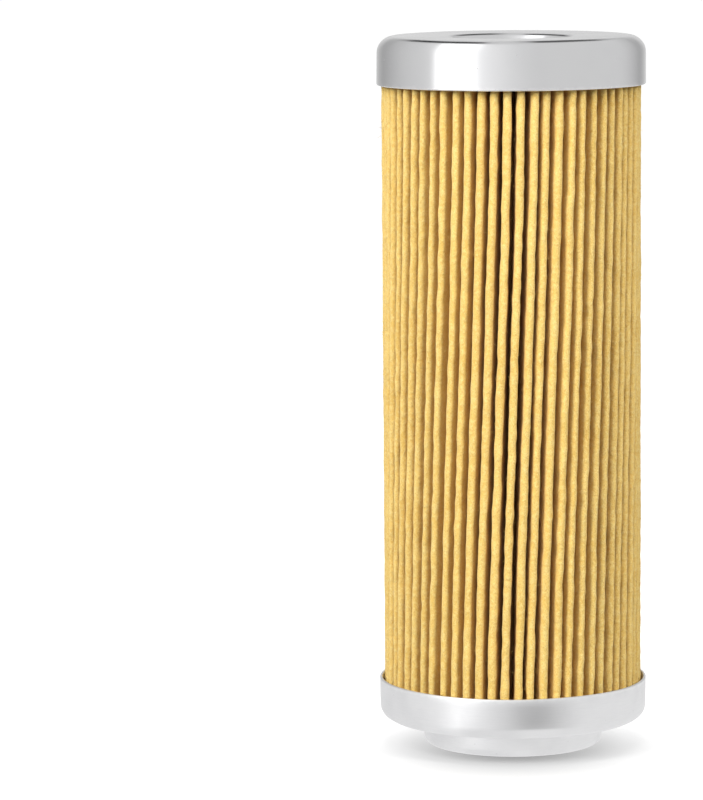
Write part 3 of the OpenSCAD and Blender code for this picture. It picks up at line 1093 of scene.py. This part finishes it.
def felted_paper():
    """Colour from straw to honey by tufts and clouds, pale and dark fibres on top, painted shade that
    makes the legs browner, and a bump that adds the tufts to the fibres."""
    made, tree, shader, place = start_material("felted_paper", Roughness=0.95,
                                               Specular_IOR_Level=0.15, Sheen_Weight=0.12,
                                               Sheen_Roughness=0.6)
    along = add_node(tree, "Mapping", {"Vector": place, "Scale": (1.0, 1.0, 0.55)}).outputs[0]
    fibre = noise(tree, along, 6400.0, 3.0, 0.7)
    tuft = noise(tree, place, 1700.0, 2.0, 0.6)
    cloud = patches(tree, place, 160.0)
    pale_tuft = remap(tree, tuft, 0.42, 0.62, 0.0, 0.5)
    dark_fibre = remap(tree, fibre, 0.36, 0.50, 0.5, 0.0)
    pale_fibre = remap(tree, fibre, 0.58, 0.70, 0.0, 0.5)
    # painted shade: the legs and the sides of the outer folds are darkened towards deep brown, as
    # shade in the pleat gaps
    leg = calculate(tree, "SUBTRACT", 1.0, calculate(tree, "POWER", mark(tree, "fold"), GAP_SHADE_POWER))
    colour = blend_colours(tree, cloud, (0.83, 0.55, 0.135, 1), (0.90, 0.64, 0.19, 1))
    colour = blend_colours(tree, pale_tuft, colour, (0.94, 0.75, 0.30, 1))
    colour = blend_colours(tree, dark_fibre, colour, (0.62, 0.34, 0.08, 1))
    colour = blend_colours(tree, pale_fibre, colour, (0.96, 0.84, 0.46, 1))
    connect(tree, shader, Base_Color=tinted(tree, colour, leg, GAP_SHADE_SHARE, (0.46, 0.22, 0.045, 1)))
    add_bump(tree, shader, weighed(tree, fibre, 0.45, tuft), FELT_HEIGHT)
    return made


PAPER_FINISH = felted_paper()

# %% [markdown]
# ## Rubber, paint, adhesive and potting
#
# These four are hidden or half hidden in the photograph, but the part is looked at from every side.
# The rubber is matt with a grey bloom. The core's paint is black and half glossy, thinned at the
# punched edges. The adhesive is amber and wet-looking. The potting is a dull beige resin
# with small bubbles.

# %% The four darker finishes
def rubber():
    """Near black, with bloom as pale patches and specks of dust."""
    made, tree, shader, place = start_material("black_rubber")
    patch = patches(tree, place, 220.0, 1.1)
    colour = blend_colours(tree, patch, (0.012, 0.012, 0.013, 1), (0.028, 0.028, 0.030, 1))
    colour = tinted(tree, colour, specks(tree, place, 1500.0, 0.12), 0.35, (0.22, 0.21, 0.20, 1))
    connect(tree, shader, Base_Color=colour, Roughness=remap(tree, patch, 0.0, 1.0, 0.38, 0.58))
    add_bump(tree, shader, noise(tree, place, 4200.0, 2.0, 0.6), 8e-6)
    return made


def black_paint():
    """Stoved paint with a slight orange-peel, worn to grey steel on the punched edges."""
    made, tree, shader, place = start_material("stoved_black")
    patch = patches(tree, place, 180.0)
    rub = rubs(tree, place, 650.0)
    colour = blend_colours(tree, patch, (0.014, 0.014, 0.015, 1), (0.030, 0.030, 0.031, 1))
    colour = tinted(tree, colour, specks(tree, place, 1000.0, 0.10), 0.3, (0.35, 0.27, 0.14, 1))
    colour = tinted(tree, colour, rub, 0.6, (0.32, 0.32, 0.33, 1))
    connect(tree, shader, Base_Color=colour, Metallic=times(tree, rub, 0.6),
            Roughness=remap(tree, patch, 0.0, 1.0, 0.28, 0.44))
    add_bump(tree, shader, noise(tree, place, 1500.0, 2.0, 0.5), 1.2e-5)
    return made


def amber_adhesive():
    """Wiped adhesive: amber with cloudy streaks along the seam and a wet gloss."""
    made, tree, shader, place = start_material("amber_adhesive", Coat_Weight=0.4, Coat_Roughness=0.12)
    along = add_node(tree, "Mapping", {"Vector": place, "Scale": (1.0, 1.0, 0.2)}).outputs[0]
    streak = noise(tree, along, 900.0, 3.0, 0.6)
    share = weighed(tree, streak, 0.5, patches(tree, place, 300.0, 1.2))
    colour = blend_colours(tree, share, (0.30, 0.16, 0.035, 1), (0.56, 0.36, 0.11, 1))
    connect(tree, shader, Base_Color=colour, Roughness=remap(tree, streak, 0.3, 0.7, 0.22, 0.42))
    add_bump(tree, shader, streak, 4e-5)
    return made


def potting_resin():
    """Beige resin with darker clouds and pin-holes that dent it, each pin-hole darkened as painted
    shade.
    """
    made, tree, shader, place = start_material("potting_resin")
    patch = patches(tree, place, 240.0)
    hole = specks(tree, place, 1400.0, 0.3)
    colour = blend_colours(tree, patch, (0.26, 0.235, 0.19, 1), (0.38, 0.35, 0.29, 1))
    # painted shade: the pin-holes are darkened
    colour = tinted(tree, colour, hole, 0.6, (0.10, 0.085, 0.06, 1))
    connect(tree, shader, Base_Color=colour, Roughness=remap(tree, patch, 0.0, 1.0, 0.34, 0.55))
    add_bump(tree, shader, calculate(tree, "SUBTRACT", 1.0, hole), 6e-5)
    return made


RUBBER, PAINT, ADHESIVE, POTTING = rubber(), black_paint(), amber_adhesive(), potting_resin()
print("other finishes:", [m.name for m in (PAPER_FINISH, RUBBER, PAINT, ADHESIVE, POTTING)])

# %% [markdown]
# ## What each piece stands for
#
# Each piece rides on the body of the frame and takes the place of one CAD solid, which is hidden.
# The CAD solids stay in the scene; they only stop being drawn.

# %% Dress the frame
DRESSED = [
    (closed_cap, "closed_end_cap", "bright_steel", BRIGHT),
    (open_cap, "open_end_cap", "cap_steel", SATIN),
    (retainer, "seal_retainer", "bright_steel", BRIGHT),
    (o_ring, "o_ring", "seal_rubber", RUBBER),
    (core, "core_tube", "black_steel", PAINT),
    *[(paper, "pleated_media", "filter_paper", PAPER_FINISH) for paper in [*papers, fibres]],
    (bead, "seam_adhesive", "seam_glue", ADHESIVE),
    (lower_potting, "lower_potting", "potting_resin", POTTING),
    (upper_potting, "upper_potting", "potting_resin", POTTING),
]
for piece, node_name, slot_name, finish in DRESSED:
    piece.data.materials.append(finish)
    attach(piece, BODY)
    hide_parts(node_name)
print("pieces dressed:", len(DRESSED))

# %% [markdown]
# ## Floor and background
#
# The photograph's background is plain white and keeps a soft shadow under the neck. The floor is
# a very large sheet, because a camera that looks down by seven degrees sees it for
# metres behind the object. Its diffuse part takes the shadow. A second part glows, but only for
# rays from the camera or a reflection, so the floor looks white and throws no extra light. The
# glow carries a painted shadow: it is weakest just in front of the neck and reaches white forty
# millimetres away, so the contact shadow is dark in its middle and has no outer edge.

# %% Floor
FLOOR_HALF = 30.0
FLOOR_TONE = 0.22
PAINTED_SHADOW_GLOW, GLOW_FAR = 0.16, 1.0
PAINTED_SHADOW_STARTS, PAINTED_SHADOW_ENDS = -0.004, 0.040
PAINTED_SHADOW_CENTRE = (0.0, -0.010, 0.0)


def shown_ray(tree):
    """1 for camera, glossy and transmission rays, and 0 for the rays that light things."""
    kinds = add_node(tree, "LightPath").outputs
    seen = calculate(tree, "MAXIMUM", kinds["Is Camera Ray"], kinds["Is Glossy Ray"])
    return calculate(tree, "MAXIMUM", seen, kinds["Is Transmission Ray"])


def bare_material(name):
    """A material without its usual shader, its tree, and the output that waits for another."""
    made = bpy.data.materials.new(name)
    made.use_nodes = True
    tree = made.node_tree
    tree.nodes.remove(tree.nodes["Principled BSDF"])
    return made, tree, tree.nodes["Material Output"].inputs["Surface"]


def make_floor():
    """A flat grid of 2 by 2 points under the neck's end face."""
    u = np.array([-FLOOR_HALF, FLOOR_HALF])
    x, y = np.meshgrid(u, u, indexing="ij")
    floor = mesh_object("floor", np.stack([x, y, 0 * x], -1), grid_quads(2, 2))
    made, tree, surface = bare_material("floor_white")
    place = add_node(tree, "TexCoord").outputs["Object"]
    # painted shadow: the glow is dimmed near a point ten millimetres in front of the axis
    away = add_node(tree, "VectorMath", {0: place, 1: PAINTED_SHADOW_CENTRE}, operation="DISTANCE")
    level = remap(tree, away.outputs["Value"], PAINTED_SHADOW_STARTS, PAINTED_SHADOW_ENDS, PAINTED_SHADOW_GLOW, GLOW_FAR)
    matt = add_node(tree, "BsdfDiffuse", {"Color": (FLOOR_TONE, FLOOR_TONE, FLOOR_TONE, 1)})
    glow = add_node(tree, "Emission", {"Strength": times(tree, shown_ray(tree), level)})
    both = add_node(tree, "AddShader", {0: matt.outputs[0], 1: glow.outputs[0]})
    tree.links.new(both.outputs[0], surface)
    floor.data.materials.append(made)
    return floor


floor = make_floor()

# %% World
WORLD_LEVEL = 0.07


def make_world():
    """White for shown rays, and a plain level for the rays that light the object."""
    world = bpy.data.worlds.new("studio")
    world.use_nodes = True
    tree = world.node_tree
    strength = remap(tree, shown_ray(tree), 0.0, 1.0, WORLD_LEVEL, 1.0)
    background = tree.nodes["Background"]
    background.inputs["Color"].default_value = (1, 1, 1, 1)
    tree.links.new(strength, background.inputs["Strength"])
    bpy.context.scene.world = world


make_world()

# %% [markdown]
# ## Soft boxes
#
# A soft box at the front left gives the pleats their bright side, and two weaker ones fill from the
# front and the right. One straight above makes the soft round shadow on the floor. They
# all stand high, so that the cap's flange keeps them from the floor beside the neck.

# %% Soft boxes
AIM = 0.06
# name; azimuth and elevation in degrees; distance, width and height in metres; level
SOFT_BOXES = [
    ("key_box", 50, 34, 0.80, 0.30, 0.60, 1.05),
    ("front_box", 6, 48, 0.90, 0.50, 0.40, 0.46),
    ("right_box", -55, 34, 0.90, 0.26, 0.60, 0.70),
    ("top_box", 0, 90, 0.75, 0.40, 0.40, 0.50),
]


def soft_box(name, azimuth, elevation, distance, width, height, level):
    """A rectangular lamp that looks at the middle of the element, turned to the left of the camera's
    side by its azimuth. Its power is level * pi^2 * distance^2, so a white card there that faces it
    sends back that share of white. It lights matt things alone, because what polished metal shows
    is made below."""
    rise, turn = math.radians(elevation), math.radians(azimuth)
    flat = distance * math.cos(rise)
    data = bpy.data.lights.new(name, "AREA")
    data.shape = "RECTANGLE"
    data.size, data.size_y, data.energy = width, height, level * math.pi**2 * distance**2
    lamp = bpy.data.objects.new(name, data)
    bpy.context.scene.collection.objects.link(lamp)
    lamp.location = (-math.sin(turn) * flat, -math.cos(turn) * flat, AIM + distance * math.sin(rise))
    lamp.rotation_euler = (math.pi / 2 - rise, 0.0, -turn)
    lamp.visible_glossy = False
    return lamp


print("soft boxes:", [soft_box(*row).name for row in SOFT_BOXES])

# %% [markdown]
# ## The tent that the metal shows
#
# Polished metal has no look of its own: it shows what stands round it. A photographer puts it in a
# pale tent and hangs boards in there. The tent here is a dome that only reflections see. Its plain
# grey is changed by a few boards: a white one at the front left with a pale soft wing, a grey one at
# each side behind, and two narrow dark ones up high, which draw the dark line along the cap's front
# bend. A board is placed by the mirror that shows it, so its edge runs straight over the bend. One
# more stands low at the back, for the flat top. The lower cap and the neck look down at the table,
# so the tent has a table too, with a bright and a dark sheet on it.

# %% Reflection tent
TENT_RADIUS = 0.36
TENT_TONE = 0.87
MIRROR_Z = (top_z - 4.0) * MM
# turn, half its width and its fade; tilt, half its height and its fade, in degrees; tone
BOARDS = [
    (138, 15, 90, 0, 95, 20, 0.35),
    (-140, 10, 60, 0, 95, 20, 0.35),
    (30, 18, 75, 0, 50, 5, 1.39),
    (47.5, 18, 9, 0, 51, 4, 2.0),
    (72, 46, 12, 59, 6, 5, 0.02),
    (-62, 45, 30, 66, 9, 6, 0.12),
]
# the same with its azimuth and elevation
BACK = (180, 16, 24, 0, 36, 10, 0.78)
TABLE_TONE = 0.93
TABLE_Z = 0.05 * MM
# the same on the table, with the azimuth and the millimetres from the axis
SHEETS = [
    (0, 180, 1, 400, 280, 40, 0.9),
    (36, 8, 16, 120, 90, 40, 1.42),
    (-14, 18, 36, 85, 45, 20, 0.32),
]


def window(value, half, fade):
    """1 within half of zero, 0 far from it, and a smooth step of the fade's width between."""
    t = np.clip((half + fade / 2 - np.abs(value)) / fade, 0, 1)
    return t * t * (3 - 2 * t)


def board_tones(azimuth, across, plain, boards):
    """A plain tone with boards laid over it: each takes its share of its own tone."""
    tone = plain + 0.0 * azimuth * across
    for centre, half, fade, middle, tall, soft, board in boards:
        turn = (azimuth - centre + 180) % 360 - 180
        share = window(turn, half, fade) * window(across - middle, tall, soft)
        tone = tone + share * (board - tone)
    return tone


def tent_cloth():
    """A glow as strong as the mesh's tone."""
    made, tree, surface = bare_material("tent_cloth")
    glow = add_node(tree, "Emission", {"Strength": mark(tree, "tone")})
    tree.links.new(glow.outputs[0], surface)
    return made


def make_tent(name, azimuth, flat, z, tone, cloth):
    """A grid round the object at distances flat and heights z, which only reflections see."""
    a = np.radians(azimuth)
    points = np.stack(np.broadcast_arrays(-np.sin(a) * flat, -np.cos(a) * flat, z + 0 * a), -1)
    tent = mesh_object(name, points, grid_quads(*tone.shape, True), marks={"tone": tone})
    tent.data.materials.append(cloth)
    tent.visible_camera = False
    tent.visible_shadow = False
    tent.visible_diffuse = False
    tent.visible_transmission = False


def mirror_angles(azimuth, elevation):
    """For a look along +Y, the mirror at the upper cap that shows a place of the dome: its normal is
    the place's direction less the look's. Gives twice its turn to the left and its tilt, in
    degrees."""
    a, e = np.radians(azimuth), np.radians(elevation)
    x, y = -np.sin(a) * np.cos(e), -np.cos(a) * np.cos(e)
    z = np.sin(e) + 0 * a - MIRROR_Z / TENT_RADIUS
    reach = np.sqrt(x**2 + y**2 + z**2)
    x, y, z = x / reach, y / reach - 1.0, z / reach
    return 2 * np.degrees(np.arctan2(-x, -y)), np.degrees(np.arctan2(z, np.hypot(x, y)))


azimuth = np.linspace(-180, 180, 240, endpoint=False)[:, None]
elevation = np.linspace(0.1, 90, 80)[None, :]
from_axis = np.linspace(2, TENT_RADIUS / MM, 60)[None, :]
cloth = tent_cloth()
dome_tone = board_tones(*mirror_angles(azimuth, elevation), TENT_TONE, BOARDS)
dome_tone = board_tones(azimuth, elevation, dome_tone, [BACK])
rise = np.radians(elevation)
make_tent("reflection_tent", azimuth, TENT_RADIUS * np.cos(rise), TENT_RADIUS * np.sin(rise),
          dome_tone, cloth)
make_tent("reflection_table", azimuth, from_axis * MM, TABLE_Z,
          board_tones(azimuth, from_axis, TABLE_TONE, SHEETS), cloth)
